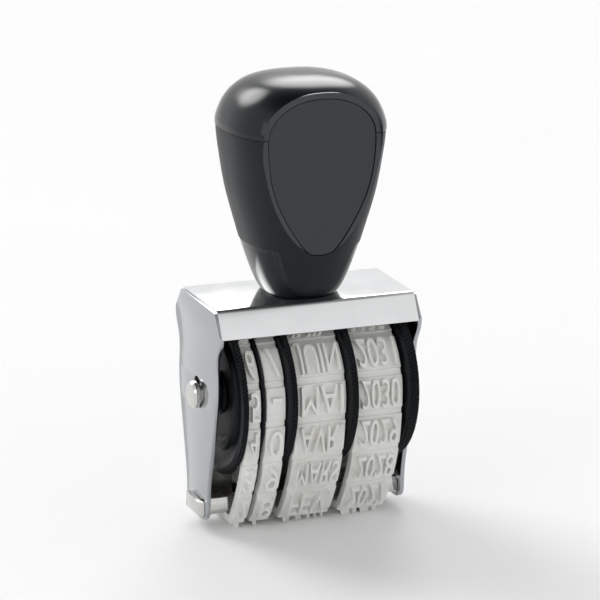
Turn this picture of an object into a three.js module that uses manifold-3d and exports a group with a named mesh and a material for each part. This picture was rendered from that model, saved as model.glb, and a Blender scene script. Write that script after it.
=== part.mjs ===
// Rotary date stamp: four rubber type bands on index wheels in a folded sheet-metal frame,
// under a moulded handle. Millimetres, +Z up. The origin is the middle of the printing plane,
// on which the stamp stands; X runs along the axle and -Y is the front.
import * as THREE from "three";
import { mergeVertices } from "three/addons/utils/BufferGeometryUtils.js";
import Module from "manifold-3d";

const wasm = await Module();
wasm.setup();

// Frame and hood
const HALF_WIDTH = 15.5;
const SHEET = 0.6;
const INNER = HALF_WIDTH - SHEET;
const HOOD_TOP = 33.8;
const HOOD_SHEET = 0.6;
const HOOD_FLAT = 6.8;
const HOOD_LIP = { y: 9.15, z: 30.5 };
const WEB_TOP = 33.05;
const WASHER_R = 2.4;
const HOOD_END = HALF_WIDTH - 0.4;
const TOP_BEND = 0.4;
const SCREW_HOLE_R = 1.8;
const GAP = 0.25;

// Axle
const AXLE_Z = 19.7;
const AXLE_R = 1.5;
const PIN_R = 2.05;
const PIN_END = 16.6;
const BORE_R = 1.6;

// Wheels and bands: X ranges of each drum, its knurled rim and its band
const RIM_R = 12.0;
const DRUM_R = 9.0;
const NOTCHES = 12;
const NOTCH_DEPTH = 0.5;
const WHEELS = [
  { name: "day_tens", drum: [-12.0, -9.65], rim: [-12.85, -12.0], band: [-11.9, -9.7] },
  { name: "day_units", drum: [-8.95, -5.85], rim: [-5.3, -4.55], band: [-8.9, -5.95] },
  { name: "month", drum: [-4.45, 3.45], rim: [4.0, 4.8], band: [-4.4, 3.35] },
  { name: "year", drum: [4.85, 12.3], rim: [13.0, 14.2], band: [4.9, 12.15] },
];
const SPACER = { from: -9.5, to: -9.1, r: 11.0 };
const ROWS = 14;
const ROW_HEIGHT = 4.0;
const TYPE_HEIGHT = 1.0;
const BAND_BASE = 1.0;
const BAND_R = 10.25;
const BAND_SHIFT = 1.75;

// Platen bridge and index spring
const PLATEN_Y = 3.1;
const PLATEN_Z = 2.25;
const PLATEN_SHEET = 0.7;
const FLANGE_TOP = 4.6;
const TAB = { z: [2.1, 4.3], y: [-3.1, 2.4], x: 16.3 };
const SPRING = { sheet: 0.45, end: 14.6, front: -2.1, back: 1.2, slotEnd: 7.5 };
const RIVET = { x: 7.4, y: -0.8, holeR: 0.75 };

// Handle: outline heights above the hood and half-widths seen from the front quarter
const SEAM = 24.4;
const HANDLE_TOP = 32.1;
const SQUARENESS = 2.5;
const ROUND_TO_FLAT = 1.045;
const FACE_Y = 8.4;
const HANDLE_OUTLINE = [
  [0.1, 5.5], [0.5, 5.9], [2.5, 6.95], [6.0, 8.25], [9.4, 9.3], [15.2, 10.9], [21.0, 11.85],
  [24.4, 12.25], [25.9, 12.0], [27.9, 11.2], [30.2, 9.2], [31.3, 7.2], [31.9, 4.4],
];
const SKIN = 0.35;
const SKIRT_END = 8.0;
const POST_R = 4.2;
const FOLD_Y = 3.4;
const BEZEL = { width: 0.95, depth: 3.4 };
const LABEL_BACK = FACE_Y - 1.0;

// Handle screw
const SCREW = { headR: 2.6, shankR: 1.0, pilotR: 1.1, bottom: 31.45, reach: 11.5 };

const nickel = { color: 0xb6babe, metalness: 0.95, roughness: 0.22 };
const steel = { color: 0x5c5c58, metalness: 0.9, roughness: 0.4 };
const blackPlastic = { color: 0x232528, metalness: 0, roughness: 0.45 };
const glossPlastic = { color: 0x2b2e31, metalness: 0, roughness: 0.18 };
const satinPlastic = { color: 0x32363a, metalness: 0, roughness: 0.5 };
const labelPlastic = { color: 0x3a3f42, metalness: 0, roughness: 0.6 };
const rubber = { color: 0xdededa, metalness: 0, roughness: 0.75 };

const stamp = new THREE.Group();

function solid(geometry) {
  const plain = geometry.index ? geometry.toNonIndexed() : geometry.clone();
  const bare = new THREE.BufferGeometry();
  bare.setAttribute("position", plain.getAttribute("position"));
  const merged = mergeVertices(bare, 1e-3);
  return new wasm.Manifold(
    new wasm.Mesh({
      numProp: 3,
      vertProperties: merged.attributes.position.array,
      triVerts: new Uint32Array(merged.index.array),
    }),
  );
}

function add(name, shape, finish) {
  const found = shape.getMesh();
  const geometry = new THREE.BufferGeometry();
  geometry.setAttribute("position", new THREE.BufferAttribute(found.vertProperties, 3));
  geometry.setIndex(new THREE.BufferAttribute(found.triVerts, 1));
  geometry.computeVertexNormals();
  const mesh = new THREE.Mesh(geometry, new THREE.MeshStandardMaterial(finish));
  mesh.name = name;
  stamp.add(mesh);
}

function block(x, y, z) {
  const box = new THREE.BoxGeometry(x[1] - x[0], y[1] - y[0], z[1] - z[0]);
  return solid(box.translate((x[0] + x[1]) / 2, (y[0] + y[1]) / 2, (z[0] + z[1]) / 2));
}

// A shape drawn in (Y, Z), swept from one X to another
function sweepX(shape, from, to) {
  const geometry = new THREE.ExtrudeGeometry(shape, {
    depth: to - from,
    bevelEnabled: false,
    curveSegments: 8,
  });
  const turn = new THREE.Matrix4().makeBasis(
    new THREE.Vector3(0, 1, 0),
    new THREE.Vector3(0, 0, 1),
    new THREE.Vector3(1, 0, 0),
  );
  return solid(geometry.applyMatrix4(turn).translate(from, 0, 0));
}

// A shape drawn in (X, Z), swept from one Y to another
function sweepY(shape, from, to) {
  const geometry = new THREE.ExtrudeGeometry(shape, {
    depth: to - from,
    bevelEnabled: false,
    curveSegments: 8,
  });
  return solid(geometry.rotateX(Math.PI / 2).translate(0, to, 0));
}

function shapeOf(points) {
  return new THREE.Shape(points.map(([u, v]) => new THREE.Vector2(u, v)));
}

function mirrored(points) {
  const other = points.map(([u, v]) => [-u, v]).reverse();
  return shapeOf([...points, ...other]);
}

// A closed profile of (radius, place along the axis), turned about the axle
function turnX(profile, segments = 36) {
  const points = profile.map(([r, x]) => new THREE.Vector2(r, x));
  if (THREE.ShapeUtils.area(points) < 0) points.reverse();
  points.push(points[0].clone());
  const geometry = new THREE.LatheGeometry(points, segments);
  return solid(geometry.rotateZ(-Math.PI / 2).translate(0, 0, AXLE_Z));
}

// An upright turned piece: the profile starts and ends on the axis
function turnZ(profile, segments = 24) {
  const points = profile.map(([r, z]) => new THREE.Vector2(r, z));
  return solid(new THREE.LatheGeometry(points, segments).rotateX(Math.PI / 2));
}

function disc(r, z0, z1, segments = 24) {
  return turnZ([[0, z0], [r, z0], [r, z1], [0, z1]], segments);
}

// Two plates joined by a web under the hood; the keyhole's slot is open to the top of its hole
function frameBracket() {
  const outline = [
    [5.7, HOOD_TOP - 0.1], [HOOD_FLAT, 33.5], [HOOD_LIP.y, HOOD_LIP.z], [8.95, 28.9],
    [7.7, 27.2], [7.4, 25.5], [7.6, 21.2], [6.5, 15.4], [4.6, 8.1], [4.15, 5.0], [4.05, 2.6],
    [3.2, 1.6], [1.8, 1.3],
  ];
  const holeR = 1.65;
  const slotHalf = 1.2;
  const rise = Math.acos(slotHalf / holeR);
  const hole = new THREE.Path();
  hole.absarc(0, AXLE_Z, holeR, Math.PI - rise, 2 * Math.PI + rise, false);
  hole.lineTo(slotHalf, AXLE_Z + 2.0);
  hole.lineTo(0, AXLE_Z + 2.7);
  hole.lineTo(-slotHalf, AXLE_Z + 2.0);
  const plate = mirrored(outline);
  plate.holes.push(hole);
  const web = block([-INNER - 0.1, INNER + 0.1], [-6.0, 6.0], [WEB_TOP - SHEET, WEB_TOP]);
  const earSlots = block([-16, 16], [-PLATEN_Y - 0.25, -PLATEN_Y + 0.95], [1.95, FLANGE_TOP]);
  const plates = sweepX(plate, -HALF_WIDTH, -INNER).add(sweepX(plate, INNER, HALF_WIDTH));
  const bend = topBendWaste();
  const hoodRoom = sweepX(hoodShape(0.1, 0.5), -HOOD_END - 0.05, HOOD_END + 0.05);
  return plates.subtract(earSlots).subtract(hoodRoom).add(web).subtract(disc(SCREW_HOLE_R, 30, 36))
    .subtract(bend).subtract(bend.mirror([1, 0, 0]));
}

// What is outside the rounded bend at the top of the right plate
function topBendWaste() {
  const top = HOOD_TOP - 0.1;
  const corner = [[HALF_WIDTH - TOP_BEND, top + 1], [HALF_WIDTH + 1, top + 1],
    [HALF_WIDTH + 1, top - TOP_BEND]];
  const arc = [0, 1, 2, 3].map((i) => {
    const turn = (i * Math.PI) / 6;
    return [HALF_WIDTH - TOP_BEND * (1 - Math.cos(turn)), top - TOP_BEND * (1 - Math.sin(turn))];
  });
  return sweepY(shapeOf([...corner, ...arc]), -10, 10);
}

// The cover's section, or the room that it takes when it is grown inwards and outwards
function hoodShape(growIn = 0, growOut = 0) {
  const slope = Math.atan2(HOOD_TOP - HOOD_LIP.z, HOOD_LIP.y - HOOD_FLAT);
  const across = [Math.sin(slope), Math.cos(slope)];
  const lip = [HOOD_LIP.y + growIn * across[1], HOOD_LIP.z - growIn * across[0]];
  const line = (offset) => [
    [HOOD_FLAT + offset * Math.tan(slope / 2), HOOD_TOP + offset],
    [lip[0] + offset * across[0], lip[1] + offset * across[1]],
  ];
  const half = [...line(growOut), ...line(-HOOD_SHEET - growIn).reverse()];
  const other = half.map(([y, z]) => [-y, z]).reverse();
  return shapeOf([...half, ...other]);
}

function hoodCover() {
  return sweepX(hoodShape(), -HOOD_END, HOOD_END).subtract(disc(SCREW_HOLE_R, 30, 36));
}

// The left ear is folded back over its plate; the right one ends flush with its own
function platenBridge() {
  const low = PLATEN_Z;
  const inside = PLATEN_Y - PLATEN_SHEET;
  const floor = low + PLATEN_SHEET;
  const outline = mirrored([
    [PLATEN_Y - 0.5, low], [PLATEN_Y, low + 0.5], [PLATEN_Y, FLANGE_TOP],
    [inside, FLANGE_TOP], [inside, floor],
  ]);
  let bridge = sweepX(outline, -INNER + 0.2, INNER - 0.2);
  for (const ear of [[-TAB.x, -INNER + 0.4], [INNER - 0.4, HALF_WIDTH]]) {
    bridge = bridge.add(block(ear, [-PLATEN_Y, -inside], TAB.z));
  }
  bridge = bridge.add(block([-TAB.x, -TAB.x + PLATEN_SHEET], TAB.y, TAB.z));
  return bridge.subtract(rivetHole(-1)).subtract(rivetHole(1));
}

function rivetHole(side) {
  return disc(RIVET.holeR, 0, 5).translate([side * RIVET.x, RIVET.y, 0]);
}

// A foot along the bridge with one upright finger under each drum
function indexSpring() {
  const foot = PLATEN_Z + PLATEN_SHEET + GAP;
  const upright = [SPRING.back - SPRING.sheet, SPRING.back];
  let comb = block([-SPRING.end, SPRING.end], [SPRING.front, SPRING.back],
    [foot, foot + SPRING.sheet]);
  for (const { drum, rim } of WHEELS) {
    const start = rim[1] <= drum[0] ? -SPRING.end : drum[0] + 0.1;
    const tip = [drum[0] + 0.4, drum[1] - 0.4];
    comb = comb.add(block([start, drum[1] - 0.1], upright, [foot, SPRING.slotEnd]));
    comb = comb.add(block(tip, upright, [SPRING.slotEnd - 0.1, AXLE_Z - DRUM_R - 0.35]));
  }
  return comb.subtract(rivetHole(-1)).subtract(rivetHole(1));
}

function springRivet(side) {
  const shank = [[0, 2.35], [0.7, 2.35], [0.7, 3.7], [1.1, 3.7], [0.9, 4.1], [0, 4.2]];
  return turnZ(shank, 16).translate([side * RIVET.x, RIVET.y, 0]);
}

// Grooves at both plates drop into their keyholes and hold the axle endwise
function axlePin() {
  const half = [[0, PIN_END], [PIN_R - 0.3, PIN_END], [PIN_R, PIN_END - 0.3],
    [PIN_R, HALF_WIDTH + 0.1], [AXLE_R, HALF_WIDTH + 0.1]];
  const other = half.map(([r, x]) => [r, -x]).reverse();
  const profile = [...half, ...other].reverse().map(([r, x]) => new THREE.Vector2(r, x));
  const geometry = new THREE.LatheGeometry(profile, 24);
  return solid(geometry.rotateZ(-Math.PI / 2).translate(0, 0, AXLE_Z));
}

function ring(inner, outer, from, to) {
  return turnX([[inner, from], [outer, from], [outer, to], [inner, to]], 24);
}

// A drum with one notch for each index position
function drum(from, to) {
  const points = [];
  const step = (2 * Math.PI) / NOTCHES;
  const half = 0.07;
  for (let i = 0; i < NOTCHES; i++) {
    const middle = i * step - Math.PI / 2;
    const corners = [[-half, DRUM_R], [0, DRUM_R - NOTCH_DEPTH], [half, DRUM_R],
      [step / 3, DRUM_R], [(2 * step) / 3, DRUM_R]];
    for (const [turn, r] of corners) {
      points.push([r * Math.cos(middle + turn), AXLE_Z + r * Math.sin(middle + turn)]);
    }
  }
  const shape = shapeOf(points);
  const bore = new THREE.Path();
  bore.absarc(0, AXLE_Z, BORE_R, 0, 2 * Math.PI, true);
  shape.holes.push(bore);
  return sweepX(shape, from, to);
}

// The first wheel shows its ringed left face; the others carry their rim right of the drum
function wheel({ drum: [from, to], rim }) {
  if (rim[1] <= from) {
    const face = turnX([
      [BORE_R, from + 0.5], [BORE_R, rim[0] - 0.05], [3.2, rim[0] - 0.05],
      [3.4, rim[0] + 0.35], [7.6, rim[0] + 0.35], [7.7, rim[0]], [8.5, rim[0]],
      [8.6, rim[0] + 0.35], [9.9, rim[0] + 0.35], [10.4, rim[0]],
      [RIM_R, rim[0] + 0.1], [RIM_R, rim[1]], [DRUM_R, rim[1]], [DRUM_R - 0.4, from + 0.5],
    ]);
    return drum(from, to).add(face);
  }
  const flange = turnX([
    [BORE_R, to - 0.5], [DRUM_R - 0.4, to - 0.5], [DRUM_R, to], [BAND_R, to],
    [RIM_R - 0.25, to + 0.25], [RIM_R - 0.1, rim[0]], [RIM_R, rim[0]],
    [RIM_R, rim[1]], [10.0, rim[1]], [9.4, rim[1] - 0.5], [4.4, rim[1] - 0.5],
    [4.2, rim[1] - 0.05], [BORE_R, rim[1] - 0.05],
  ]);
  return drum(from, to).add(flange);
}

// The front half of the band's outer base line, from over the axle down to the middle of the
// platen. The moulded rows are stiff, so the run bows outwards between wheel and platen.
function bandRoute() {
  const route = new THREE.CurvePath();
  const top = new THREE.EllipseCurve(0, AXLE_Z, BAND_R, BAND_R, Math.PI / 2, Math.PI, false);
  const corner = new THREE.Vector2(-4.6, 1.6);
  const run = new THREE.CubicBezierCurve(
    new THREE.Vector2(-BAND_R, AXLE_Z),
    new THREE.Vector2(-BAND_R, 11.2),
    new THREE.Vector2(-7.6, 6.3),
    corner,
  );
  const turn = new THREE.QuadraticBezierCurve(
    corner,
    new THREE.Vector2(-4.24, TYPE_HEIGHT),
    new THREE.Vector2(-3.5, TYPE_HEIGHT),
  );
  const floor = new THREE.LineCurve(
    new THREE.Vector2(-3.5, TYPE_HEIGHT),
    new THREE.Vector2(0, TYPE_HEIGHT),
  );
  route.curves.push(top, run, turn, floor);
  return route;
}

const HALF_ROUTE = bandRoute();
const HALF_LENGTH = HALF_ROUTE.getLength();
const PITCH = (2 * HALF_LENGTH) / ROWS;

// The point at a distance along the whole loop, counted from the platen's middle up the
// front, moved outwards by an offset
function onBand(along, offset) {
  const loop = 2 * HALF_LENGTH;
  const s = ((along % loop) + loop) % loop;
  const front = s <= HALF_LENGTH;
  const u = front ? 1 - s / HALF_LENGTH : (s - HALF_LENGTH) / HALF_LENGTH;
  const point = HALF_ROUTE.getPointAt(u);
  const tangent = HALF_ROUTE.getTangentAt(u);
  const y = point.x + tangent.y * offset;
  const z = point.y - tangent.x * offset;
  return [front ? y : -y, z];
}

function band([from, to]) {
  const outer = [];
  const inner = [];
  const ramp = 0.25;
  for (let row = 0; row < ROWS; row++) {
    const middle = row * PITCH + BAND_SHIFT;
    const half = ROW_HEIGHT / 2;
    outer.push(onBand(middle - PITCH / 2, 0));
    outer.push(onBand(middle - half - ramp, 0));
    for (const place of [-half, -half / 3, half / 3, half]) {
      outer.push(onBand(middle + place, TYPE_HEIGHT));
    }
    outer.push(onBand(middle + half + ramp, 0));
  }
  const steps = 60;
  for (let i = 0; i < steps; i++) {
    inner.push(onBand((i * 2 * HALF_LENGTH) / steps, -BAND_BASE));
  }
  return sweepX(shapeOf(outer), from, to).subtract(sweepX(shapeOf(inner), from - 1, to + 1));
}

// The handle's outer form between two heights above the hood: rounded-square sections
function handleForm(low, high, inset = 0) {
  const curve = new THREE.SplineCurve(HANDLE_OUTLINE.map(([h, r]) => new THREE.Vector2(r, h)));
  const profile = [new THREE.Vector2(0, low)];
  const samples = curve.getPoints(60);
  const radius = (h) => {
    const next = samples.findIndex((p) => p.y >= h);
    const a = samples[Math.max(next - 1, 0)];
    const b = samples[next < 0 ? samples.length - 1 : next];
    const t = b.y > a.y ? (h - a.y) / (b.y - a.y) : 0;
    return a.x + (b.x - a.x) * t - inset;
  };
  const rings = 8;
  for (let i = 0; i <= rings; i++) {
    const h = low + ((high - low) * i) / rings;
    if (h < 31.9) profile.push(new THREE.Vector2(radius(h) / ROUND_TO_FLAT, h));
  }
  profile.push(new THREE.Vector2(0, high));
  const form = new THREE.LatheGeometry(profile, 32);
  const place = form.attributes.position;
  for (let i = 0; i < place.count; i++) {
    const x = place.getX(i);
    const y = place.getZ(i);
    const r = Math.hypot(x, y);
    if (r > 0) {
      const c = Math.abs(x / r) ** SQUARENESS;
      const s = Math.abs(y / r) ** SQUARENESS;
      const grow = (c + s) ** (-1 / SQUARENESS);
      place.setX(i, x * grow);
      place.setZ(i, y * grow);
    }
  }
  return solid(form.rotateX(Math.PI / 2).translate(0, 0, HOOD_TOP));
}

// The moulding with a flat face inside the raised border round each label
function withFaces(form, border) {
  const beyond = sweepY(labelOutline(BEZEL.width), FACE_Y, FACE_Y + 5);
  const flat = form.subtract(beyond).subtract(beyond.mirror([0, 1, 0]));
  return withLabelPockets(flat.add(border).add(border.mirror([0, 1, 0])));
}

function labelBorder(low, high) {
  const between = block([-20, 20], [0, 20], [HOOD_TOP + low, HOOD_TOP + high]);
  return sweepY(labelOutline(BEZEL.width), FACE_Y - BEZEL.depth, FACE_Y).intersect(between);
}

function labelOutline(grow) {
  const half = [[1.6, 7.6], [2.7, 8.6], [4.0, 10.4], [5.5, 12.9], [6.95, 16.2], [7.75, 19.5],
    [8.05, 24.0], [7.4, 26.4], [5.5, 28.3], [2.9, 29.4]];
  const right = half.map(([x, h]) => new THREE.Vector2(x, h));
  const left = half.map(([x, h]) => new THREE.Vector2(-x, h)).reverse();
  const loop = [new THREE.Vector2(0, 7.3), ...right, new THREE.Vector2(0, 29.7), ...left];
  const middle = new THREE.Vector2(0, 19);
  return new THREE.Shape(
    loop.map((p) => {
      const out = p.clone().sub(middle);
      out.setLength(out.length() + grow).add(middle);
      return out.setY(out.y + HOOD_TOP);
    }),
  );
}

function labelPlate(side) {
  const [from, to] = side < 0 ? [-FACE_Y, -LABEL_BACK] : [LABEL_BACK, FACE_Y];
  const room = handleForm(6, SEAM).add(block([-20, 20], [-20, 20], [HOOD_TOP + SEAM, 80]));
  return sweepY(labelOutline(0), from, to).intersect(room);
}

function withLabelPockets(shape) {
  const pocket = sweepY(labelOutline(0.15), LABEL_BACK - 0.15, FACE_Y + 2);
  return shape.subtract(pocket).subtract(pocket.mirror([0, 1, 0]));
}

function tongueOutline(grow) {
  const half = [[2.2 + grow, 1.0 - grow], [3.6 + grow, 2.2 - grow], [5.0 + grow, 5.0],
    [6.4 + grow, SKIRT_END + 1]];
  return mirrored(half.map(([x, h]) => [x, HOOD_TOP + h]));
}

// Inside piece: the neck on the hood, the glossy flanks and the post that carries the shell
function handleCore() {
  const lower = handleForm(0.15, SKIRT_END - 0.15, SKIN);
  const fold = block([-20, 20], [-FOLD_Y, FOLD_Y], [30, 60]);
  const channel = sweepY(tongueOutline(0.12), -12, 12).subtract(fold);
  const post = disc(POST_R, HOOD_TOP + 5, HOOD_TOP + SEAM + 1.2);
  const pilot = disc(SCREW.pilotR, HOOD_TOP - 1, HOOD_TOP + SCREW.reach + 0.5, 16);
  return lower.subtract(channel).add(post).subtract(pilot);
}

function handleBody() {
  const fold = block([-20, 20], [-FOLD_Y - 0.15, FOLD_Y + 0.15], [30, 80]);
  const tongues = sweepY(tongueOutline(0), -12, 12).subtract(fold);
  const lower = handleForm(0.6, SKIRT_END + 0.3).intersect(tongues);
  const upper = handleForm(SKIRT_END, SEAM - 0.1);
  const bore = disc(POST_R + 0.15, HOOD_TOP - 1, HOOD_TOP + 40);
  const border = labelBorder(SKIRT_END, SEAM - 0.1).intersect(upper);
  return withFaces(upper.add(lower), border).subtract(bore);
}

function handleCap() {
  const bore = disc(POST_R + 0.15, HOOD_TOP, HOOD_TOP + SEAM + 1.4);
  const border = labelBorder(SEAM + 0.1, HANDLE_TOP);
  return withFaces(handleForm(SEAM + 0.1, HANDLE_TOP), border).subtract(bore);
}

function handleScrew() {
  const underHead = WEB_TOP - SHEET - 0.1;
  const end = HOOD_TOP + SCREW.reach;
  return turnZ([[0, SCREW.bottom], [SCREW.headR - 0.2, SCREW.bottom],
    [SCREW.headR, SCREW.bottom + 0.35], [SCREW.headR, underHead],
    [SCREW.shankR, underHead], [SCREW.shankR, end], [0, end + 0.3]]);
}

add("frame_bracket", frameBracket(), nickel);
add("hood_cover", hoodCover(), nickel);
add("platen_bridge", platenBridge(), nickel);
add("index_spring", indexSpring(), steel);
add("spring_rivet_left", springRivet(-1), nickel);
add("spring_rivet_right", springRivet(1), nickel);
add("axle_pin", axlePin(), nickel);
const firstFace = WHEELS[0].rim[0] - 0.25;
const lastFace = WHEELS[3].rim[1] + 0.2;
add("thrust_washer_left", ring(AXLE_R + 0.15, WASHER_R, -INNER + 0.1, firstFace), steel);
add("thrust_washer_right", ring(AXLE_R + 0.15, WASHER_R, lastFace, INNER - 0.1), steel);
add("spacer_disc", ring(AXLE_R + 0.1, SPACER.r, SPACER.from, SPACER.to), blackPlastic);
for (const item of WHEELS) {
  add(item.name + "_wheel", wheel(item), blackPlastic);
  add(item.name + "_band", band(item.band), rubber);
}
add("handle_core", handleCore(), glossPlastic);
add("handle_body", handleBody(), satinPlastic);
add("handle_cap", handleCap(), glossPlastic);
add("front_label_plate", labelPlate(-1), labelPlastic);
add("rear_label_plate", labelPlate(1), labelPlastic);
add("handle_screw", handleScrew(), steel);

export default stamp;
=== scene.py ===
import math

import bmesh
import bpy
from mathutils import Matrix, Vector, geometry


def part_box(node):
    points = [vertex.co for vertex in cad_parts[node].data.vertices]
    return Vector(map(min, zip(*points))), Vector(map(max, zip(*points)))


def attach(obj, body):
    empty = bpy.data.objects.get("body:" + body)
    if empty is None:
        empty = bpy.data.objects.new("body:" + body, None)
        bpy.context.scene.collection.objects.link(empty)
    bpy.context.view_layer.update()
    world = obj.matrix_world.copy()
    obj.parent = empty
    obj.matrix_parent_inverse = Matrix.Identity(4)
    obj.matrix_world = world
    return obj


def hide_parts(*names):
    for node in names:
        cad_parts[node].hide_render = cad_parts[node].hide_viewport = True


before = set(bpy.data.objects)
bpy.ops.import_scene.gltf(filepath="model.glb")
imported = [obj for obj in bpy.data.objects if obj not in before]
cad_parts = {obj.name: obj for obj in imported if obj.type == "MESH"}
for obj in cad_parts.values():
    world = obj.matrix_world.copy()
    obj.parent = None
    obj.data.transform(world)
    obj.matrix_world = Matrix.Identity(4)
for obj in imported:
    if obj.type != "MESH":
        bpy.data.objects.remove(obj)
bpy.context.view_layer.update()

MM = 0.001


# ---------------------------------------------------------------- places read from the frame

def span(node, axis):
    """Lowest and highest place of a CAD node along an axis, in millimetres."""
    low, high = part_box(node)
    return low[axis] / MM, high[axis] / MM


X, Y, Z = 0, 1, 2
HOOD_TOP = span("hood_cover", Z)[1]
HOOD_LIP_Z = span("hood_cover", Z)[0]
HOOD_LIP_Y = span("hood_cover", Y)[1]
HOOD_END = span("hood_cover", X)[1]
PLATE_X = span("frame_bracket", X)[1]
PLATE_TOP = span("frame_bracket", Z)[1]
PLATE_FOOT = span("frame_bracket", Z)[0]
PIN_END = span("axle_pin", X)[1]
PIN_R = (span("axle_pin", Z)[1] - span("axle_pin", Z)[0]) / 2
AXLE_Z = sum(span("axle_pin", Z)) / 2
RIM_R = span("month_wheel", Z)[1] - AXLE_Z
HANDLE_TOP = span("handle_cap", Z)[1] - HOOD_TOP
FACE_Y = 8.4
SHEET = 0.6
HOOD_SHEET = 0.6
TOP_BEND = 0.4


# ---------------------------------------------------------------- materials

def material(name, colour, roughness, metallic=0.0):
    """A Principled material with its colour, and the nodes that the finish is built on."""
    mat = bpy.data.materials.new(name)
    mat.use_nodes = True
    nodes = mat.node_tree.nodes
    shader = nodes["Principled BSDF"]
    shader.inputs["Base Color"].default_value = (*colour, 1)
    shader.inputs["Roughness"].default_value = roughness
    shader.inputs["Metallic"].default_value = metallic
    return mat, nodes, mat.node_tree.links, shader


def noise(nodes, links, scale, detail=3.0, stretch=(1, 1, 1)):
    """Noise in the object's own coordinates, in cycles per metre."""
    place = nodes.new("ShaderNodeTexCoord")
    mapping = nodes.new("ShaderNodeMapping")
    mapping.inputs["Scale"].default_value = stretch
    texture = nodes.new("ShaderNodeTexNoise")
    texture.inputs["Scale"].default_value = scale
    texture.inputs["Detail"].default_value = detail
    links.new(place.outputs["Object"], mapping.inputs["Vector"])
    links.new(mapping.outputs["Vector"], texture.inputs["Vector"])
    return texture.outputs["Fac"]


def spread(nodes, links, value, low, high):
    """Maps a noise value onto low to high."""
    remap = nodes.new("ShaderNodeMapRange")
    remap.inputs["From Min"].default_value = 0.3
    remap.inputs["From Max"].default_value = 0.7
    remap.inputs["To Min"].default_value = low
    remap.inputs["To Max"].default_value = high
    links.new(value, remap.inputs["Value"])
    return remap.outputs["Result"]


def tint(nodes, links, value, first, second):
    """A colour that drifts between two close tones."""
    ramp = nodes.new("ShaderNodeValToRGB")
    ramp.color_ramp.elements[0].position = 0.35
    ramp.color_ramp.elements[1].position = 0.65
    ramp.color_ramp.elements[0].color = (*first, 1)
    ramp.color_ramp.elements[1].color = (*second, 1)
    links.new(value, ramp.inputs["Fac"])
    return ramp.outputs["Color"]


def bump(nodes, links, shader, height, depth, strength):
    """A fine relief of the given depth in metres."""
    relief = nodes.new("ShaderNodeBump")
    relief.inputs["Distance"].default_value = depth
    relief.inputs["Strength"].default_value = strength
    links.new(height, relief.inputs["Height"])
    links.new(relief.outputs["Normal"], shader.inputs["Normal"])


def nickel(name, colour, low, high, grain=(1, 1, 1), strength=0.1):
    """Nickel plate: cloudy gloss over a faint rolling grain."""
    mat, nodes, links, shader = material(name, colour, low, 1.0)
    cloud = noise(nodes, links, 260, 4)
    darker = tuple(c * 0.96 for c in colour)
    links.new(tint(nodes, links, cloud, darker, colour), shader.inputs["Base Color"])
    links.new(spread(nodes, links, cloud, low, high), shader.inputs["Roughness"])
    bump(nodes, links, shader, noise(nodes, links, 1500, 2, grain), 2e-6, strength)
    return mat


def plastic(name, colour, low, high, grain, depth, strength, shine=0.38):
    """Moulded plastic: gloss drifting between two values over a fine mould grain."""
    mat, nodes, links, shader = material(name, colour, low)
    shader.inputs["Specular IOR Level"].default_value = shine
    cloud = noise(nodes, links, 120, 3)
    lighter = tuple(min(1.0, c * 1.12) for c in colour)
    links.new(tint(nodes, links, cloud, colour, lighter), shader.inputs["Base Color"])
    links.new(spread(nodes, links, cloud, low, high), shader.inputs["Roughness"])
    bump(nodes, links, shader, noise(nodes, links, grain, 2), depth, strength)
    return mat


def type_rubber():
    """Pale grey rubber, a little warmer where the mould release marks it."""
    mat, nodes, links, shader = material("type_rubber", (0.74, 0.74, 0.71), 0.55)
    patch = noise(nodes, links, 180, 5)
    links.new(
        tint(nodes, links, patch, (0.70, 0.695, 0.66), (0.77, 0.77, 0.745)),
        shader.inputs["Base Color"],
    )
    links.new(spread(nodes, links, patch, 0.48, 0.62), shader.inputs["Roughness"])
    bump(nodes, links, shader, noise(nodes, links, 3000, 3), 6e-6, 0.25)
    return mat


HOOD_NICKEL = nickel("hood_nickel", (0.80, 0.81, 0.81), 0.08, 0.12, (1, 12, 12))
# The side plates use the same nickel as the hood, painted darker and slightly bluer: painted shade for the
# sides that face away from the light
SHADED_PLATE_NICKEL = nickel("plate_nickel_shaded", (0.44, 0.455, 0.475), 0.13, 0.17)
PIN_NICKEL = nickel("pin_nickel", (0.62, 0.615, 0.59), 0.10, 0.16)
SPRING_STEEL = nickel("spring_steel", (0.34, 0.335, 0.31), 0.22, 0.30, (1, 14, 14), 0.3)
WHEEL_BLACK = plastic("wheel_black", (0.005, 0.0065, 0.0080), 0.34, 0.42, 1800, 6e-6, 0.15, 0.16)
CAP_BLACK = plastic("cap_black", (0.002, 0.0040, 0.0056), 0.13, 0.17, 900, 1e-6, 0.04)
BODY_BLACK = plastic("body_black", (0.002, 0.0042, 0.0060), 0.38, 0.44, 2600, 6e-6, 0.2, 0.28)
# Satin face round the labels: its base colour, about ten times lighter than the body's black, is a painted
# sheen of the light from above
BEZEL_PAINTED_SHEEN = plastic("bezel_painted_sheen", (0.032, 0.0375, 0.0405), 0.40, 0.46, 2600, 6e-6, 0.2)
LABEL_BLACK = plastic("label_black", (0.024, 0.0300, 0.0345), 0.50, 0.58, 2200, 1.2e-5, 0.4)
RUBBER = type_rubber()


# ---------------------------------------------------------------- mesh helpers

def place_mesh(name, points, faces):
    """A new object from points in millimetres, with its faces turned outwards."""
    mesh = bpy.data.meshes.new(name)
    mesh.from_pydata([Vector(p) * MM for p in points], [], faces)
    tidy = bmesh.new()
    tidy.from_mesh(mesh)
    bmesh.ops.recalc_face_normals(tidy, faces=tidy.faces)
    tidy.to_mesh(mesh)
    tidy.free()
    obj = bpy.data.objects.new(name, mesh)
    bpy.context.scene.collection.objects.link(obj)
    return obj


def bake_modifiers(obj):
    """Applies the object's modifiers to its mesh."""
    graph = bpy.context.evaluated_depsgraph_get()
    done = bpy.data.meshes.new_from_object(obj.evaluated_get(graph))
    obj.modifiers.clear()
    obj.data = done


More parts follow.
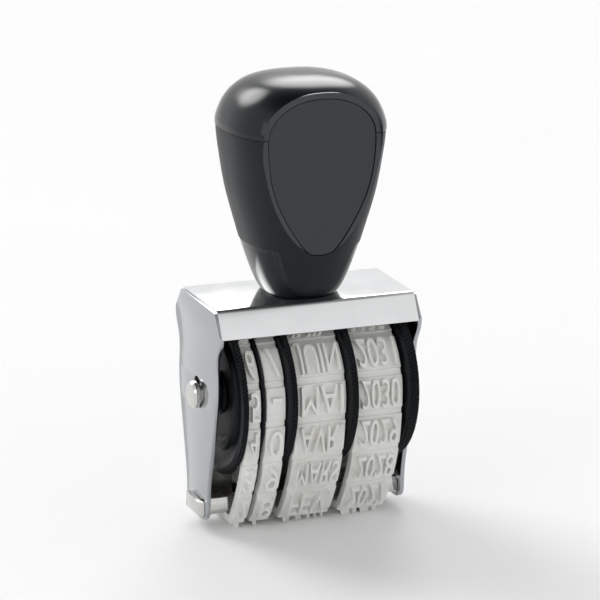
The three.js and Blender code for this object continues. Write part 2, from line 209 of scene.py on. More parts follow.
def combine(obj, other, operation):
    """Joins or cuts obj with other, which is used up."""
    cut = obj.modifiers.new("combine", "BOOLEAN")
    cut.operation = operation
    cut.solver = "EXACT"
    cut.object = other
    bake_modifiers(obj)
    bpy.data.objects.remove(other)


def soften(obj, width, segments=3, angle=30):
    """Rounds the edges of a piece by a width in millimetres."""
    edge = obj.modifiers.new("edges", "BEVEL")
    edge.width = width * MM
    edge.segments = segments
    edge.limit_method = "ANGLE"
    edge.angle_limit = math.radians(angle)
    bake_modifiers(obj)


def finish(obj, body, mat, nodes, angle=32):
    """Shades a piece, gives it its material and says what it stands for."""
    mesh = obj.data
    mesh.shade_smooth()
    mesh.set_sharp_from_angle(angle=math.radians(angle))
    if not mesh.materials:
        mesh.materials.append(mat)
    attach(obj, body)
    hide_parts(*nodes)


def fillet(corners, radius, steps=5):
    """Rounds the inner corners of an open line; radius may be one value or one per corner."""
    line = [Vector(corners[0])]
    for i in range(1, len(corners) - 1):
        before, at, after = (Vector(corners[j]) for j in (i - 1, i, i + 1))
        r = radius[i - 1] if isinstance(radius, (list, tuple)) else radius
        into = (before - at).normalized()
        out = (after - at).normalized()
        half = into.angle(out) / 2
        run = r / math.tan(half)
        centre = at + (into + out).normalized() * (r / math.sin(half))
        start = at + into * run - centre
        end = at + out * run - centre
        for k in range(steps + 1):
            t = k / steps
            line.append(centre + start.slerp(end, t) if start.angle(end) > 1e-4 else at)
    line.append(Vector(corners[-1]))
    return line


def thicken(line, thickness, beyond=0.0):
    """The closed outline of a sheet whose outside follows an open line, or lies beyond it."""
    outside = []
    inside = []
    for i, p in enumerate(line):
        back = line[max(i - 1, 0)]
        ahead = line[min(i + 1, len(line) - 1)]
        along = (ahead - back).normalized()
        inwards = Vector((along.y, -along.x))
        outside.append(p - inwards * beyond)
        inside.append(p + inwards * thickness)
    return outside + inside[::-1]


def prism(name, outline, start, end, axis, holes=()):
    """A flat outline swept along an axis. The outline's two numbers are the other two axes."""
    loops = [list(outline)] + [list(h) for h in holes]
    flat = [p for loop in loops for p in loop]
    triangles = geometry.tessellate_polygon([[Vector((p[0], p[1], 0)) for p in lp] for lp in loops])
    others = [a for a in (X, Y, Z) if a != axis]

    def at(p, place):
        point = [0, 0, 0]
        point[others[0]] = p[0]
        point[others[1]] = p[1]
        point[axis] = place
        return point

    count = len(flat)
    points = [at(p, start) for p in flat] + [at(p, end) for p in flat]
    faces = [tuple(t) for t in triangles]
    faces += [tuple(i + count for i in reversed(t)) for t in triangles]
    first = 0
    for loop in loops:
        size = len(loop)
        for i in range(size):
            a = first + i
            b = first + (i + 1) % size
            faces.append((a, b, b + count, a + count))
        first += size
    return place_mesh(name, points, faces)


def turned(name, profile, segments, axis, centre=0.0, radius=None):
    """Turns a profile of (radius, place) about X at the axle, or about Z. radius may change
    the radius at (profile index, segment). A closed profile makes a ring."""
    points = []
    rings = []
    for j, (r, place) in enumerate(profile):
        ring = []
        for i in range(segments):
            if r == 0 and i:
                ring.append(ring[0])
                continue
            turn = 2 * math.pi * i / segments
            real = radius(j, i, r) if radius else r
            a = real * math.cos(turn)
            b = real * math.sin(turn)
            ring.append(len(points))
            points.append((place, a, centre + b) if axis == X else (a, b, place))
        rings.append(ring)
    faces = []
    closed = profile[0][0] > 0
    for j in range(len(rings) if closed else len(rings) - 1):
        low = rings[j]
        high = rings[(j + 1) % len(rings)]
        for i in range(segments):
            k = (i + 1) % segments
            corner = [low[i], low[k], high[k], high[i]]
            corner = list(dict.fromkeys(corner))
            if len(corner) > 2:
                faces.append(tuple(corner))
    return place_mesh(name, points, faces)


def smooth_line(points, steps=6, closed=False):
    """A Catmull-Rom curve through points."""
    size = len(points)
    line = []
    for i in range(size if closed else size - 1):
        if closed:
            p = [Vector(points[(i + k) % size]) for k in (-1, 0, 1, 2)]
        else:
            p = [Vector(points[min(max(i + k, 0), size - 1)]) for k in (-1, 0, 1, 2)]
        for s in range(steps):
            t = s / steps
            line.append(
                0.5 * (2 * p[1] + (p[2] - p[0]) * t
                       + (2 * p[0] - 5 * p[1] + 4 * p[2] - p[3]) * t * t
                       + (3 * p[1] - p[0] - 3 * p[2] + p[3]) * t ** 3)
            )
    if not closed:
        line.append(Vector(points[-1]))
    return line


# ---------------------------------------------------------------- frame, hood and bridge

def plate_outline():
    """The side plate seen along X: under the hood, a waist beside the wheels, then a taper."""
    shoulder = [(HOOD_LIP_Y, HOOD_LIP_Z + 0.35), (9.1, 29.6), (8.7, 28.5), (8.05, 27.4), (7.6, 26.2),
                (7.4, 24.6), (7.55, 22.6), (7.55, 20.6), (7.2, 18.2), (6.5, 15.3), (5.55, 11.7), (4.6, 8.0),
                (4.2, 5.6), (4.1, 3.0), (3.8, 2.2), (3.1, 1.55), (2.0, PLATE_FOOT)]
    half = [Vector((6.0, PLATE_TOP)), Vector((6.95, PLATE_TOP - 0.15))] + smooth_line(shoulder, 4)
    return half + [Vector((-p.x, p.y)) for p in reversed(half)]


def keyhole():
    """Round hole with the notch above it through which the axle drops in."""
    hole_r = 1.65
    half = 1.2
    rise = math.acos(half / hole_r)
    turns = [math.pi - rise + (math.pi + 2 * rise) * k / 24 for k in range(25)]
    line = [Vector((hole_r * math.cos(t), AXLE_Z + hole_r * math.sin(t))) for t in turns]
    top = [(half, 2.0), (half * 0.72, 2.45), (0, 2.7), (-half * 0.72, 2.45), (-half, 2.0)]
    return line + [Vector((y, AXLE_Z + z)) for y, z in top]


def top_bend_waste(side):
    """What is cut away outside the rounded bend at the top of a side plate."""
    top = PLATE_TOP
    arc = [(PLATE_X - TOP_BEND * (1 - math.cos(t)), top - TOP_BEND * (1 - math.sin(t)))
           for t in (math.pi / 2 * k / 10 for k in range(11))]
    corner = [(PLATE_X - TOP_BEND, top + 1), (PLATE_X + 1, top + 1), (PLATE_X + 1, top - TOP_BEND)]
    return prism("bend", [Vector((side * x, z)) for x, z in corner + arc], -12, 12, Y)


def frame_bracket():
    inner = PLATE_X - SHEET
    slot = [Vector(p) for p in ((-3.35, 1.95), (-2.15, 1.95), (-2.15, 4.6), (-3.35, 4.6))]
    plates = []
    for side in (-1, 1):
        plate = prism("plate", plate_outline(), side * inner, side * PLATE_X, X, (keyhole(), slot))
        combine(plate, top_bend_waste(side), "DIFFERENCE")
        end = HOOD_END + 0.04
        room = prism("room", thicken(hood_line(0.06), HOOD_SHEET + 0.06, 0.6), -end, end, X)
        combine(plate, room, "DIFFERENCE")
        soften(plate, 0.07, 2, 40)
        plates.append(plate)
    web_top = HOOD_TOP - HOOD_SHEET - 0.15
    web_low = web_top - SHEET
    corner = [Vector(p) for p in ((-6, web_low), (6, web_low), (6, web_top), (-6, web_top))]
    bracket = prism("frame_bracket_sheet", corner, -inner - 0.1, inner + 0.1, X)
    for plate in plates:
        combine(bracket, plate, "UNION")
    finish(bracket, "body", SHADED_PLATE_NICKEL, ["frame_bracket"])


def hood_line(lip=0.0):
    """The outside of the folded cover seen along X; lip lengthens its two flanges."""
    top = Vector((6.85, HOOD_TOP))
    end = Vector((HOOD_LIP_Y, HOOD_LIP_Z))
    end += (end - top).normalized() * lip
    return fillet([(-end.x, end.y), (-top.x, top.y), (top.x, top.y), (end.x, end.y)], 0.85, 8)


def hood_cover():
    hood = prism("hood_sheet", thicken(hood_line(), HOOD_SHEET), -HOOD_END, HOOD_END, X)
    soften(hood, 0.09, 3, 40)
    finish(hood, "body", HOOD_NICKEL, ["hood_cover"])


def platen_bridge():
    low, top = span("platen_bridge", Z)
    low += 0.15
    front = 3.1
    sheet = 0.7
    tab_x = span("platen_bridge", X)[0]
    channel = fillet([(-front, top), (-front, low), (front, low), (front, top)], 0.8, 6)
    bridge = prism("platen_channel", thicken(channel, -sheet), -PLATE_X + 0.7, PLATE_X - 0.7, X)
    soften(bridge, 0.06, 2)
    inner = PLATE_X - 1.2
    folded = fillet([(-inner, -front), (tab_x, -front), (tab_x, 2.4)], 0.95, 6)
    straight = [Vector((inner, -front)), Vector((PLATE_X, -front))]
    for ear in (thicken(folded, sheet), thicken(straight, -sheet)):
        tab = prism("tab", ear, low - 0.1, top - 0.35, Z)
        soften(tab, 0.12, 3)
        combine(bridge, tab, "UNION")
    finish(bridge, "body", PIN_NICKEL, ["platen_bridge"])


def axle_pin():
    chamfer = 0.28
    neck = 1.5
    half = [(0, PIN_END), (PIN_R - chamfer - 0.25, PIN_END), (PIN_R - chamfer, PIN_END - 0.02),
            (PIN_R - 0.08, PIN_END - chamfer + 0.06), (PIN_R, PIN_END - chamfer - 0.06),
            (PIN_R, PLATE_X + 0.16), (PIN_R - 0.06, PLATE_X + 0.1), (neck, PLATE_X + 0.1)]
    profile = [(r, -x) for r, x in half] + [(r, x) for r, x in reversed(half)]
    pin = turned("axle", profile, 96, X, AXLE_Z)
    finish(pin, "body", PIN_NICKEL, ["axle_pin"])


def spacer_disc():
    left, right = span("spacer_disc", X)
    outer = span("spacer_disc", Z)[1] - AXLE_Z
    edge = 0.12
    profile = [(BORE_R, left), (outer - edge, left), (outer, left + edge), (outer, right - edge),
               (outer - edge, right), (BORE_R, right)]
    disc = turned("spacer_flange", profile, 144, X, AXLE_Z)
    finish(disc, "body", WHEEL_BLACK, ["spacer_disc"])


def kept_frame_parts():
    """CAD pieces whose shape is right: they get their finish and rounded edges."""
    looks = {"index_spring": SPRING_STEEL, "spring_rivet_left": PIN_NICKEL,
             "spring_rivet_right": PIN_NICKEL, "thrust_washer_left": SPRING_STEEL,
             "thrust_washer_right": SPRING_STEEL, "handle_screw": SPRING_STEEL}
    for node, mat in looks.items():
        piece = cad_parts[node]
        piece.data.materials.clear()
        piece.data.materials.append(mat)
        edge = piece.modifiers.new("edges", "BEVEL")
        edge.width = 0.06 * MM
        edge.segments = 2
        edge.limit_method = "ANGLE"


# ---------------------------------------------------------------- wheels

KNURLS = 132
KNURL_DEPTH = 0.36
KNURL_PITCH = 0.4
RIM_VALLEY = 0.24
DRUM_R = 9.0
BORE_R = 1.6
NOTCHES = 12
NOTCH_DEPTH = 0.5
NOTCH_SHARE = 1 / 7


def rim_points(left, right):
    """The knurled edge from left to right: rows of teeth with a valley on both sides of each."""
    rows = round((right - left) / KNURL_PITCH)
    width = (right - left) / rows
    line = [(RIM_R - RIM_VALLEY, left)]
    for k in range(rows):
        line.append((RIM_R, left + width * (k + 0.5)))
        line.append((RIM_R - RIM_VALLEY, left + width * (k + 1)))
    return line


def wheel(name, profile):
    """Turns a wheel; points on the rim are knurled and points on the drum are notched."""
    segments = KNURLS * 2

    def radius(j, i, r):
        if r == RIM_R:
            return r - (KNURL_DEPTH if (i + j // 2) % 2 else 0)
        if r == DRUM_R:
            share = (i * NOTCHES / segments) % 1
            return r - NOTCH_DEPTH * max(0.0, 1 - abs(share - 0.5) * 2 / NOTCH_SHARE)
        return r

    turned_wheel = turned(name + "_knurled", profile, segments, X, AXLE_Z, radius)
    finish(turned_wheel, name + "_index", WHEEL_BLACK, [name + "_wheel"], 24)


def first_wheel():
    """The day's tens: its ringed face looks out through the open side of the frame."""
    face, end = span("day_tens_wheel", X)
    left = face + 0.05
    right = left + 0.85
    dish = left + 0.6
    profile = [(BORE_R, end), (BORE_R, face), (2.9, face), (3.1, face + 0.25), (3.3, dish), (6.6, dish),
               (6.9, dish - 0.3), (7.0, left + 0.15), (7.25, left), (8.1, left), (8.35, left + 0.15),
               (8.5, dish - 0.1), (9.1, dish), (9.9, dish - 0.1), (10.4, dish - 0.35),
               (10.6, left + 0.1), (10.85, left - 0.02), (RIM_R - 0.35, left - 0.02)]
    profile += rim_points(left, right)
    profile += [(RIM_R - 0.35, right + 0.03), (DRUM_R + 0.2, right + 0.03), (DRUM_R, right + 0.1),
                (DRUM_R, end - 0.1), (DRUM_R - 0.2, end)]
    wheel("day_tens", profile)


def carrier_wheel(name):
    """A drum with its knurled rim on the right, behind a smooth sloping shoulder."""
    start, end = span(name + "_wheel", X)
    knurl = {"day_units": 0.75, "month": 0.8, "year": 1.2}[name]
    left = end - knurl
    shoulder = left - 0.5
    profile = [(BORE_R, start), (DRUM_R - 0.2, start), (DRUM_R, start + 0.1), (DRUM_R, shoulder - 0.1),
               (DRUM_R + 0.2, shoulder), (10.4, shoulder), (RIM_R - 0.62, shoulder + 0.12),
               (RIM_R - 0.45, shoulder + 0.3), (RIM_R - 0.36, left - 0.02)]
    profile += rim_points(left, end)
    profile += [(RIM_R - 0.4, end), (10.2, end), (9.9, end - 0.08), (9.4, end - 0.5),
                (4.4, end - 0.5), (4.2, end - 0.05), (BORE_R, end - 0.05)]
    wheel(name, profile)


# ---------------------------------------------------------------- type bands

BAND_R = 10.25
BAND_BASE = 1.0
TYPE_TOP = 1.0
PLATE_RISE = 0.28
ROWS = 14
ROW_SHIFT = 1.75
CHARACTER = 4.0
ROW_PLATE = 4.62
GLYPH_WEIGHT = -0.005
GLYPH_FLANK = 0.13
GLYPH_FACE = 0.05
GLYPH_BURIED = 0.12
OVERSHOOT_KEPT = 0.3
SLICE = 0.7


def half_route():
    """Points of the band's base line from over the axle, down the front, to the platen."""
    line = []
    for k in range(60):
        turn = math.pi / 2 + (math.pi / 2) * k / 60
        line.append(Vector((BAND_R * math.cos(turn), AXLE_Z + BAND_R * math.sin(turn))))
    start = Vector((-BAND_R, AXLE_Z))
    corner = Vector((-4.6, 1.6))
    pulls = Vector((-BAND_R, 11.2)), Vector((-7.6, 6.3))
    for k in range(60):
        t = k / 60
        u = 1 - t
        line.append(start * u ** 3 + pulls[0] * 3 * u * u * t
                    + pulls[1] * 3 * u * t * t + corner * t ** 3)
    flat = Vector((-3.5, TYPE_TOP))
    pull = Vector((-4.24, TYPE_TOP))
    for k in range(20):
        t = k / 20
        u = 1 - t
        line.append(corner * u * u + pull * 2 * u * t + flat * t * t)
    line += [flat, Vector((0, TYPE_TOP))]
    return line[::-1]


class Loop:
    """The whole band loop, measured from the platen's middle up the front."""

    def __init__(self):
        front = half_route()
        back = [Vector((-p.x, p.y)) for p in front[-2:0:-1]]
        self.points = front + back + [front[0].copy()]
        self.places = [0.0]
        for a, b in zip(self.points, self.points[1:]):
            self.places.append(self.places[-1] + (b - a).length)
        self.length = self.places[-1]
        self.pitch = self.length / ROWS

    def at(self, place, offset):
        """The (Y, Z) point at a place along the loop, moved outwards by an offset."""
        s = place % self.length
        low, high = 0, len(self.places) - 1
        while high - low > 1:
            middle = (low + high) // 2
            if self.places[middle] <= s:
                low = middle
            else:
                high = middle
        a, b = self.points[low], self.points[high]
        t = (s - self.places[low]) / (self.places[high] - self.places[low])
        here = a.lerp(b, t)
        size = len(self.points) - 1
        before = (a - self.points[(low - 1) % size]).normalized()
        along = (b - a).normalized()
        after = (self.points[(high + 1) % size] - b).normalized()
        way = before.lerp(along, t + 0.5) if t < 0.5 else along.lerp(after, t - 0.5)
        way.normalize()
        return here.x - way.y * offset, here.y + way.x * offset


LOOP = Loop()


def glyph_mesh(text, width):
    """Raised characters with sloping flanks, in a row that is CHARACTER high, centred on 0.
    Heights: 1 is the printing face and 0 the foot of the flanks."""
    font = bpy.data.curves.new("type", "FONT")
    font.body = text
    obj = bpy.data.objects.new("type", font)
    bpy.context.scene.collection.objects.link(obj)
    graph = bpy.context.evaluated_depsgraph_get()
    strokes = obj.evaluated_get(graph).to_curve(graph).copy()
    bpy.data.objects.remove(obj)
    places = [p.co.x for line in strokes.splines for p in line.bezier_points]
    tall = (CHARACTER - 2 * GLYPH_WEIGHT) / CAP_HEIGHT
    wide = (width - 2 * (GLYPH_WEIGHT + GLYPH_FLANK)) / (max(places) - min(places))
    wide = min(wide, tall)
    middle = (max(places) + min(places)) / 2
    centre = Matrix.Translation((-middle, -CAP_HEIGHT / 2, 0))
    strokes.transform(Matrix.Diagonal((wide, tall, 1, 1)) @ centre)
    for line in strokes.splines:
        for point in line.bezier_points:
            point.radius = 1.0
    strokes.dimensions = "2D"
    strokes.fill_mode = "BOTH"
    strokes.resolution_u = 5
    strokes.offset = GLYPH_WEIGHT
    strokes.extrude = GLYPH_FACE
    strokes.bevel_depth = GLYPH_FLANK
    strokes.bevel_resolution = 0
    obj = bpy.data.objects.new("type", strokes)
    bpy.context.scene.collection.objects.link(obj)
    graph = bpy.context.evaluated_depsgraph_get()
    graph.update()
    mesh = bpy.data.meshes.new_from_object(obj.evaluated_get(graph))
    bpy.data.objects.remove(obj)
    shape = bmesh.new()
    shape.from_mesh(mesh)
    bpy.data.meshes.remove(mesh)
    bmesh.ops.remove_doubles(shape, verts=shape.verts, dist=1e-4)
    for v in shape.verts:
        over = abs(v.co.y) - CHARACTER / 2
        if over > 0:
            v.co.y = math.copysign(CHARACTER / 2 + over * OVERSHOOT_KEPT, v.co.y)
        v.co.z = max(-GLYPH_BURIED, (v.co.z - GLYPH_FACE) / GLYPH_FLANK)
    for k in range(-2, 3):
        everything = shape.verts[:] + shape.edges[:] + shape.faces[:]
        bmesh.ops.bisect_plane(shape, geom=everything, plane_co=(0, k * SLICE, 0), plane_no=(0, 1, 0))
    return shape


def cap_height():
    """Height of a capital letter at the size that glyph_mesh uses."""
    font = bpy.data.curves.new("measure", "FONT")
    font.body = "H"
    obj = bpy.data.objects.new("measure", font)
    bpy.context.scene.collection.objects.link(obj)
    bpy.context.view_layer.update()
    height = obj.dimensions.y
    bpy.data.objects.remove(obj)
    return height


CAP_HEIGHT = cap_height()


def band_base(left, right):
    """Points and faces of the plain band: a raised plate under each row, grooves between."""
    edge = 0.1
    half = ROW_PLATE / 2
    stops = [(-half - 0.14, 0), (-half, PLATE_RISE)]
    stops += [(half * k / 5, PLATE_RISE) for k in range(-4, 5)]
    stops += [(half, PLATE_RISE), (half + 0.14, 0)]
    points = []
    rings = 0
    for row in range(ROWS):
        middle = row * LOOP.pitch + ROW_SHIFT
        for place, rise in stops:
            section = [(left, -BAND_BASE), (left, rise - edge), (left + edge, rise),
                       (right - edge, rise), (right, rise - edge), (right, -BAND_BASE)]
            for x, offset in section:
                y, z = LOOP.at(middle + place, offset)
                points.append((x, y, z))
            rings += 1
    faces = []
    for i in range(rings):
        for j in range(6):
            k = (j + 1) % 6
            n = (i + 1) % rings
            faces.append((i * 6 + j, i * 6 + k, n * 6 + k, n * 6 + j))
    return points, faces


def type_band(name, rows):
    """A band with its rows of raised type, from the printing row up the front."""
    left, right = span(name + "_band", X)
    points, faces = band_base(left, right)
    width = (right - left) - (1.1 if right - left > 5 else 0.75)
    for row, text in enumerate(rows):
        if not text:
            continue
        shape = glyph_mesh(text, width)
        shape.verts.index_update()
        first = len(points)
        middle = row * LOOP.pitch + ROW_SHIFT
        foot = PLATE_RISE - 0.04
        for v in shape.verts:
            y, z = LOOP.at(middle - v.co.y, foot + (TYPE_TOP - foot) * v.co.z)
            points.append(((left + right) / 2 + v.co.x, y, z))
        faces += [tuple(first + v.index for v in f.verts) for f in shape.faces]
        shape.free()
    band = place_mesh(name + "_type", points, faces)
    finish(band, "body", RUBBER, [name + "_band"], 28)


def type_bands():
    """Rows from the one on the platen up the front: the next dates come down as a wheel turns."""
    type_band("day_tens", ["1", "2", "3", "4", "5", "6", "7", "8", "9", "0", "-", "/", "", ""])
    type_band("day_units", ["7", "8", "9", "0", "-", "/", "", "", "1", "2", "3", "4", "5", "6"])
    type_band("month", ["JANV.", "FÉV.", "MARS", "AVR.", "MAI", "JUIN", "JUIL.", "AOÛT", "SEPT.",
                        "OCT.", "NOV.", "DÉC.", "", ""])
    type_band("year", [str(2026 + n) for n in range(12)] + ["", ""])


# ---------------------------------------------------------------- handle

SEAM = 24.4
STEP = 7.9
SKIN = 0.18
FLANK = 0.09
LABEL_RECESS = 0.1
POCKET_Y = 7.2
SEAT_GAP = 0.13
SEAM_GAP = 0.05
OUTSIDE_Y = 14
SQUARENESS = 2.5
ROUND_TO_FLAT = 1.045
OUTLINE = [(0.05, 5.3), (0.45, 5.85), (2.5, 6.95), (6.0, 8.25), (9.4, 9.3), (15.2, 10.9), (21.0, 11.9),
           (24.4, 12.25), (25.9, 12.05), (27.9, 11.2), (29.5, 9.95), (30.8, 8.1), (31.6, 5.7),
           (32.0, 2.9), (32.1, 0.0)]
AROUND = 360


def outline_curve():
    """The handle's profile as (radius, height above the hood), bottom to top."""
    return smooth_line([(r, h) for h, r in OUTLINE[:-1]] + [(0.0, HANDLE_TOP)], 16)


CURVE = outline_curve()


def profile_between(low, high):
    """The part of the profile between two heights, with its ends cut exactly."""
    low = max(low, CURVE[0].y)
    high = min(high, CURVE[-1].y)
    inside = [p for p in CURVE if low < p.y < high]
    ends = []
    for h in (low, high):
        for a, b in zip(CURVE, CURVE[1:]):
            if a.y <= h <= b.y:
                ends.append(a.lerp(b, (h - a.y) / max(b.y - a.y, 1e-9)))
                break
    if high >= CURVE[-1].y:
        return [ends[0]] + inside + [CURVE[-1]]
    return [ends[0]] + inside + [ends[1]]


def skin_radius(r, turn, inset):
    """Distance from the handle's axis to its rounded-square sections."""
    c = abs(math.cos(turn))
    s = abs(math.sin(turn))
    return r / ROUND_TO_FLAT * (c ** SQUARENESS + s ** SQUARENESS) ** (-1 / SQUARENESS) - inset


def skin(name, low, high, inset=0.0):
    """A closed solid of the handle's outer form between two heights above the hood."""
    line = profile_between(low, high)
    points = []
    for p in line:
        if p.x < 0.01:
            points.append((0, 0, HOOD_TOP + p.y))
            continue
        for i in range(AROUND):
            turn = 2 * math.pi * i / AROUND
            r = max(0.02, skin_radius(p.x, turn, inset))
            points.append((r * math.cos(turn), r * math.sin(turn), HOOD_TOP + p.y))
    rings = len([p for p in line if p.x >= 0.01])
    faces = []
    for j in range(rings - 1):
        for i in range(AROUND):
            k = (i + 1) % AROUND
            a, b = j * AROUND, (j + 1) * AROUND
            faces.append((a + i, a + k, b + k, b + i))
    faces.append(tuple(range(AROUND))[::-1])
    last = (rings - 1) * AROUND
    if rings < len(line):
        tip = rings * AROUND
        faces += [(last + i, last + (i + 1) % AROUND, tip) for i in range(AROUND)]
    else:
        faces.append(tuple(range(last, last + AROUND)))
    return place_mesh(name, points, faces)


def label_outline(grow):
    """The outline of a label plate, or of its seat when it is grown."""
    half = [(1.6, 7.6), (2.7, 8.6), (4.0, 10.4), (5.5, 12.9), (6.95, 16.2), (7.75, 19.5), (8.05, 24.0),
            (7.4, 26.4), (5.5, 28.3), (2.9, 29.4)]
    loop = [(0, 7.3)] + half + [(0, 29.7)] + [(-x, h) for x, h in reversed(half)]
    line = smooth_line(loop, 8, closed=True)
    size = len(line)
    out = []
    for i, p in enumerate(line):
        along = (line[(i + 1) % size] - line[i - 1]).normalized()
        out.append(Vector((p.x + along.y * grow, HOOD_TOP + p.y - along.x * grow)))
    return out


def side_relief():
    """What is cut from the shell's flanks, leaving a tongue in front and behind."""
    tongue = smooth_line([(5.9, STEP), (5.35, 6.6), (4.6, 4.6), (3.9, 2.7), (3.1, 1.5), (1.8, 0.95),
                          (0, 0.85)], 6)
    left = [Vector((-p.x, p.y)) for p in tongue[:-1]]
    line = [Vector((-20, STEP))] + left + list(reversed(tongue)) + [Vector((20, STEP))]
    line += [Vector((20, -3)), Vector((-20, -3))]
    return prism("relief", [Vector((p.x, HOOD_TOP + p.y)) for p in line], -OUTSIDE_Y, OUTSIDE_Y, Y)


def face_outline():
    """The front face: the border round the label above, the tongue down to the neck below."""
    half = [(1.8, 0.75), (3.1, 1.5), (3.9, 2.7), (4.6, 4.6), (5.35, 6.6), (5.95, 8.0), (6.6, 10.0),
            (7.4, 12.6), (8.05, 15.5), (8.7, 19.5), (9.0, 24.0), (8.35, 27.0), (6.2, 29.1), (3.2, 30.35)]
    loop = [(0, 0.6)] + half + [(0, 30.65)] + [(-x, h) for x, h in reversed(half)]
    return [Vector((p.x, HOOD_TOP + p.y)) for p in smooth_line(loop, 8, closed=True)]


def cut_seat(shape, side):
    """The seat of one label."""
    seat = prism("seat", label_outline(SEAT_GAP), side * POCKET_Y, side * 12, Y)
    combine(shape, seat, "DIFFERENCE")


def cut_faces(shape):
    """The flat faces, and the seats of the two labels in them."""
    for side in (-1, 1):
        beyond = prism("beyond", face_outline(), side * FACE_Y, side * OUTSIDE_Y, Y)
        combine(shape, beyond, "DIFFERENCE")
        cut_seat(shape, side)


def upper_block(low):
    """Everything above a height over the hood."""
    corner = [Vector(p) for p in ((-20, HOOD_TOP + low), (20, HOOD_TOP + low), (20, 80), (-20, 80))]
    return prism("upper", corner, -20, 20, Y)


def add_borders(cap):
    """The labels' raised border stands clear of the dome near the top."""
    for side in (-1, 1):
        border = prism("border", face_outline(), side * 5, side * FACE_Y, Y)
        combine(border, upper_block(SEAM + SEAM_GAP), "INTERSECT")
        combine(cap, border, "UNION")


def paint_face_sheen(shape, main):
    """The flat face round the label gets a satin black whose lighter colour is a painted sheen."""
    shape.data.materials.clear()
    shape.data.materials.append(main)
    shape.data.materials.append(BEZEL_PAINTED_SHEEN)
    for face in shape.data.polygons:
        flat = abs(face.normal.y) > 0.999 and abs(face.center.y) > (FACE_Y - 0.02) * MM
        face.material_index = 1 if flat else 0


def handle_core():
    core = skin("handle_flanks", 0.05, STEP + 0.4, SKIN)
    for side in (-1, 1):
        cut_seat(core, side)
    finish(core, "body", CAP_BLACK, ["handle_core"])


def handle_body():
    low = 0.5
    high = SEAM - SEAM_GAP
    body = skin("handle_shell", low, high, FLANK)
    combine(body, side_relief(), "DIFFERENCE")
    for side in (-1, 1):
        face = skin("face", low, high)
        front = prism("front", face_outline(), side * 3.5, side * OUTSIDE_Y, Y)
        combine(face, front, "INTERSECT")
        combine(body, face, "UNION")
    cut_faces(body)
    paint_face_sheen(body, BODY_BLACK)
    finish(body, "body", BODY_BLACK, ["handle_body"])


def handle_cap():
    cap = skin("handle_top", SEAM + SEAM_GAP, HANDLE_TOP)
    add_borders(cap)
    cut_faces(cap)
    paint_face_sheen(cap, CAP_BLACK)
    finish(cap, "body", CAP_BLACK, ["handle_cap"])


def label_plates():
    for side, node in ((-1, "front_label_plate"), (1, "rear_label_plate")):
        form = skin("form", 4.0, 16.0, 0.03)
        combine(form, upper_block(15.9), "UNION")
        face = side * (FACE_Y - LABEL_RECESS)
        label = prism(node + "_inset", label_outline(0), side * (POCKET_Y + 0.1), face, Y)
        combine(label, form, "INTERSECT")
        finish(label, "body", LABEL_BLACK, [node])


# ---------------------------------------------------------------- stage, light and camera

# Each glow: bearing from +X, height, radiance, and the angles at which it is full and gone
BACK_GLOW = (64, 35, 4.8, 1, 19)
LEFT_GLOW = (114, 37, 6.5, 3, 21)


def floor():
    """A plain pale sheet of paper."""
    size = 2.0
    mesh = bpy.data.meshes.new("floor")
    corners = [(-size, -size, 0), (size, -size, 0), (size, size, 0), (-size, size, 0)]
    mesh.from_pydata(corners, [], [(0, 1, 2, 3)])
    ground = bpy.data.objects.new("floor", mesh)
    bpy.context.scene.collection.objects.link(ground)
    mat, nodes, links, shader = material("floor_paper", (0.93, 0.93, 0.93), 0.9)
    links.new(
        tint(nodes, links, noise(nodes, links, 8, 2), (0.925, 0.925, 0.925), (0.935, 0.935, 0.935)),
        shader.inputs["Base Color"],
    )
    shader.inputs["Specular IOR Level"].default_value = 0.1
    mesh.materials.append(mat)


def softbox(name, place, aim, size, radiance):
    """A rectangular area light of the given radiance, in metres."""
    lamp = bpy.data.lights.new(name, "AREA")
    lamp.shape = "RECTANGLE"
    lamp.size, lamp.size_y = size
    lamp.energy = radiance * math.pi * size[0] * size[1]
    obj = bpy.data.objects.new(name, lamp)
    obj.location = place
    way = Vector(aim) - Vector(place)
    obj.rotation_euler = way.to_track_quat("-Z", "Y").to_euler()
    bpy.context.scene.collection.objects.link(obj)


def glow(nodes, links, direction, bearing, rise, radiance, inner, outer):
    """A round soft light in the world, fading between two angles from its middle (degrees)."""
    bearing, rise = math.radians(bearing), math.radians(rise)
    aim = (math.cos(bearing) * math.cos(rise), math.sin(bearing) * math.cos(rise), math.sin(rise))
    near = nodes.new("ShaderNodeVectorMath")
    near.operation = "DOT_PRODUCT"
    near.inputs[1].default_value = aim
    links.new(direction, near.inputs[0])
    fade = nodes.new("ShaderNodeMapRange")
    fade.interpolation_type = "SMOOTHSTEP"
    fade.inputs["From Min"].default_value = math.cos(math.radians(outer))
    fade.inputs["From Max"].default_value = math.cos(math.radians(inner))
    fade.inputs["To Max"].default_value = radiance
    links.new(near.outputs["Value"], fade.inputs["Value"])
    return fade.outputs["Result"]


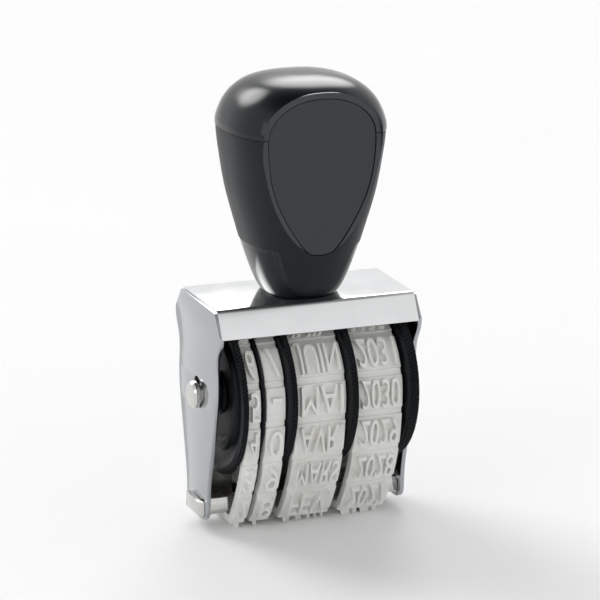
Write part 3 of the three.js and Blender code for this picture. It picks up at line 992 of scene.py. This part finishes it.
def studio_world():
    """A bright horizon under a dimmer ceiling, with a soft light behind and one at the left."""
    world = bpy.data.worlds.new("studio")
    world.use_nodes = True
    nodes = world.node_tree.nodes
    links = world.node_tree.links
    direction = nodes.new("ShaderNodeTexCoord").outputs["Generated"]
    parts = nodes.new("ShaderNodeSeparateXYZ")
    ramp = nodes.new("ShaderNodeValToRGB")
    links.new(direction, parts.inputs["Vector"])
    links.new(parts.outputs["Z"], ramp.inputs["Fac"])
    stops = [(0.0, 0.92), (0.3, 0.92), (0.7, 0.84), (0.85, 0.35), (1.0, 0.08)]
    while len(ramp.color_ramp.elements) < len(stops):
        ramp.color_ramp.elements.new(0.5)
    for element, (height, level) in zip(ramp.color_ramp.elements, stops):
        element.position = height
        element.color = (level, level, level * 1.01, 1)
    total = ramp.outputs["Color"]
    for light in (BACK_GLOW, LEFT_GLOW):
        both = nodes.new("ShaderNodeVectorMath")
        both.operation = "ADD"
        links.new(total, both.inputs[0])
        links.new(glow(nodes, links, direction, *light), both.inputs[1])
        total = both.outputs["Vector"]
    links.new(total, nodes["Background"].inputs["Color"])
    bpy.context.scene.world = world


def lights():
    studio_world()
    middle = (0, 0, 0.04)
    softbox("left_fill", (-0.44, -0.20, 0.24), middle, (0.20, 0.20), 1.0)


CAMERA_AZIMUTH = math.radians(22.105)
CAMERA_ELEVATION = math.radians(15.835)
CAMERA_ROLL = math.radians(0.694)
CAMERA_DISTANCE = 0.450
CAMERA_LENS = 187.2
CAMERA_SHIFT = (0.0027, -0.0175)


def camera():
    az, el = CAMERA_AZIMUTH, CAMERA_ELEVATION
    back = Vector((-math.sin(az) * math.cos(el), -math.cos(az) * math.cos(el), math.sin(el)))
    level = Vector((math.cos(az), -math.sin(az), 0))
    rise = back.cross(level)
    right = level * math.cos(CAMERA_ROLL) + rise * math.sin(CAMERA_ROLL)
    up = rise * math.cos(CAMERA_ROLL) - level * math.sin(CAMERA_ROLL)
    lens = bpy.data.cameras.new("camera")
    lens.lens = CAMERA_LENS
    lens.sensor_width = 36
    lens.shift_x, lens.shift_y = CAMERA_SHIFT
    lens.clip_start = 0.01
    obj = bpy.data.objects.new("camera", lens)
    turn = Matrix((right, up, back)).transposed().to_4x4()
    place = Vector((0, 0, HOOD_TOP * MM)) + back * CAMERA_DISTANCE
    obj.matrix_world = Matrix.Translation(place) @ turn
    bpy.context.scene.collection.objects.link(obj)
    bpy.context.scene.camera = obj


camera()
lights()
floor()
frame_bracket()
hood_cover()
platen_bridge()
axle_pin()
spacer_disc()
kept_frame_parts()
first_wheel()
carrier_wheel("day_units")
carrier_wheel("month")
carrier_wheel("year")
type_bands()
handle_core()
handle_body()
handle_cap()
label_plates()
bpy.context.scene.view_settings.view_transform = "Standard"
